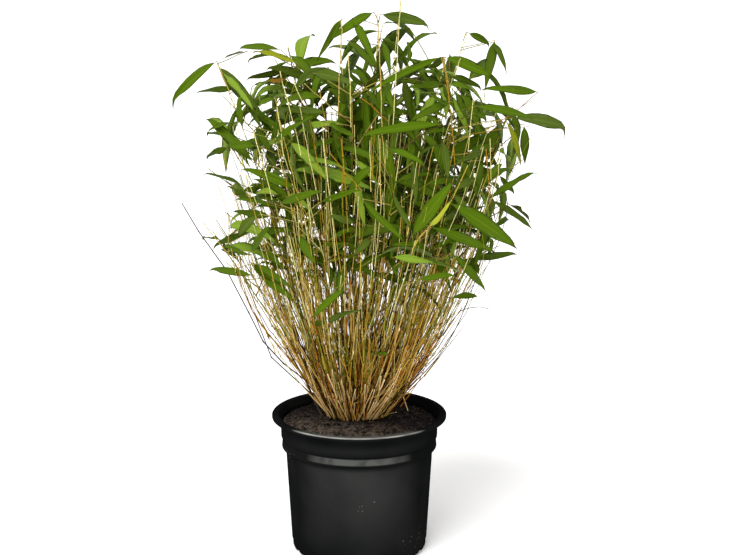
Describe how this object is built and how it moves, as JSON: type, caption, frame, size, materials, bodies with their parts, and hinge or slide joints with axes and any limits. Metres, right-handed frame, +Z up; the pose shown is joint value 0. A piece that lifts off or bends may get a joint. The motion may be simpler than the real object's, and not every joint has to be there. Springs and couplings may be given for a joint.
{
  "type": "potted clumping bamboo",
  "caption": "Clumping bamboo with fine upright culms and narrow drooping leaves, growing in a round black plastic nursery pot of dark compost.",
  "frame": {"origin": "middle of the pot's flat underside", "axes": "+Z up along the plant; the picture looks along +Y from -Y, with +X to the right"},
  "size_m": [0.54, 0.4408, 0.7921],
  "materials": {
    "pot": "moulded satin black polypropylene, faintly scuffed",
    "compost": "crumbly dark brown peat-free compost with pale flecks",
    "culm": "smooth straw, olive and orange-brown cane with thin dry sheaths",
    "dry_stem": "dry grey-brown cane",
    "leaf": "satin green blades, paler and duller below"
  },
  "bodies": {
    "root": {"pot": "pot", "compost": "compost", "culm_01": "culm", "culm_02": "culm", "culm_03": "culm", "culm_04": "culm", "culm_05": "culm", "culm_06": "culm", "culm_07": "culm", "culm_08": "culm", "culm_09": "culm", "culm_10": "culm", "culm_11": "culm", "culm_12": "culm", "culm_13": "culm", "culm_14": "culm", "culm_15": "culm", "culm_16": "culm", "culm_17": "culm", "culm_18": "culm", "culm_19": "culm", "culm_20": "culm", "culm_21": "culm", "culm_22": "culm", "culm_23": "culm", "culm_24": "culm", "culm_25": "culm", "culm_26": "culm", "culm_27": "culm", "dry_stem_tall": "dry_stem", "dry_stem_low": "dry_stem", "foliage_01": "leaf", "foliage_02": "leaf", "foliage_03": "leaf", "foliage_04": "leaf", "foliage_05": "leaf", "foliage_06": "leaf", "foliage_07": "leaf", "foliage_08": "leaf", "foliage_09": "leaf", "foliage_10": "leaf", "foliage_11": "leaf", "foliage_12": "leaf", "foliage_13": "leaf", "foliage_14": "leaf", "foliage_15": "leaf", "foliage_16": "leaf", "foliage_17": "leaf", "foliage_18": "leaf", "foliage_19": "leaf", "foliage_20": "leaf", "foliage_21": "leaf", "foliage_22": "leaf", "foliage_23": "leaf", "foliage_24": "leaf", "foliage_25": "leaf", "foliage_26": "leaf", "foliage_27": "leaf"}
  },
  "joints": []
}
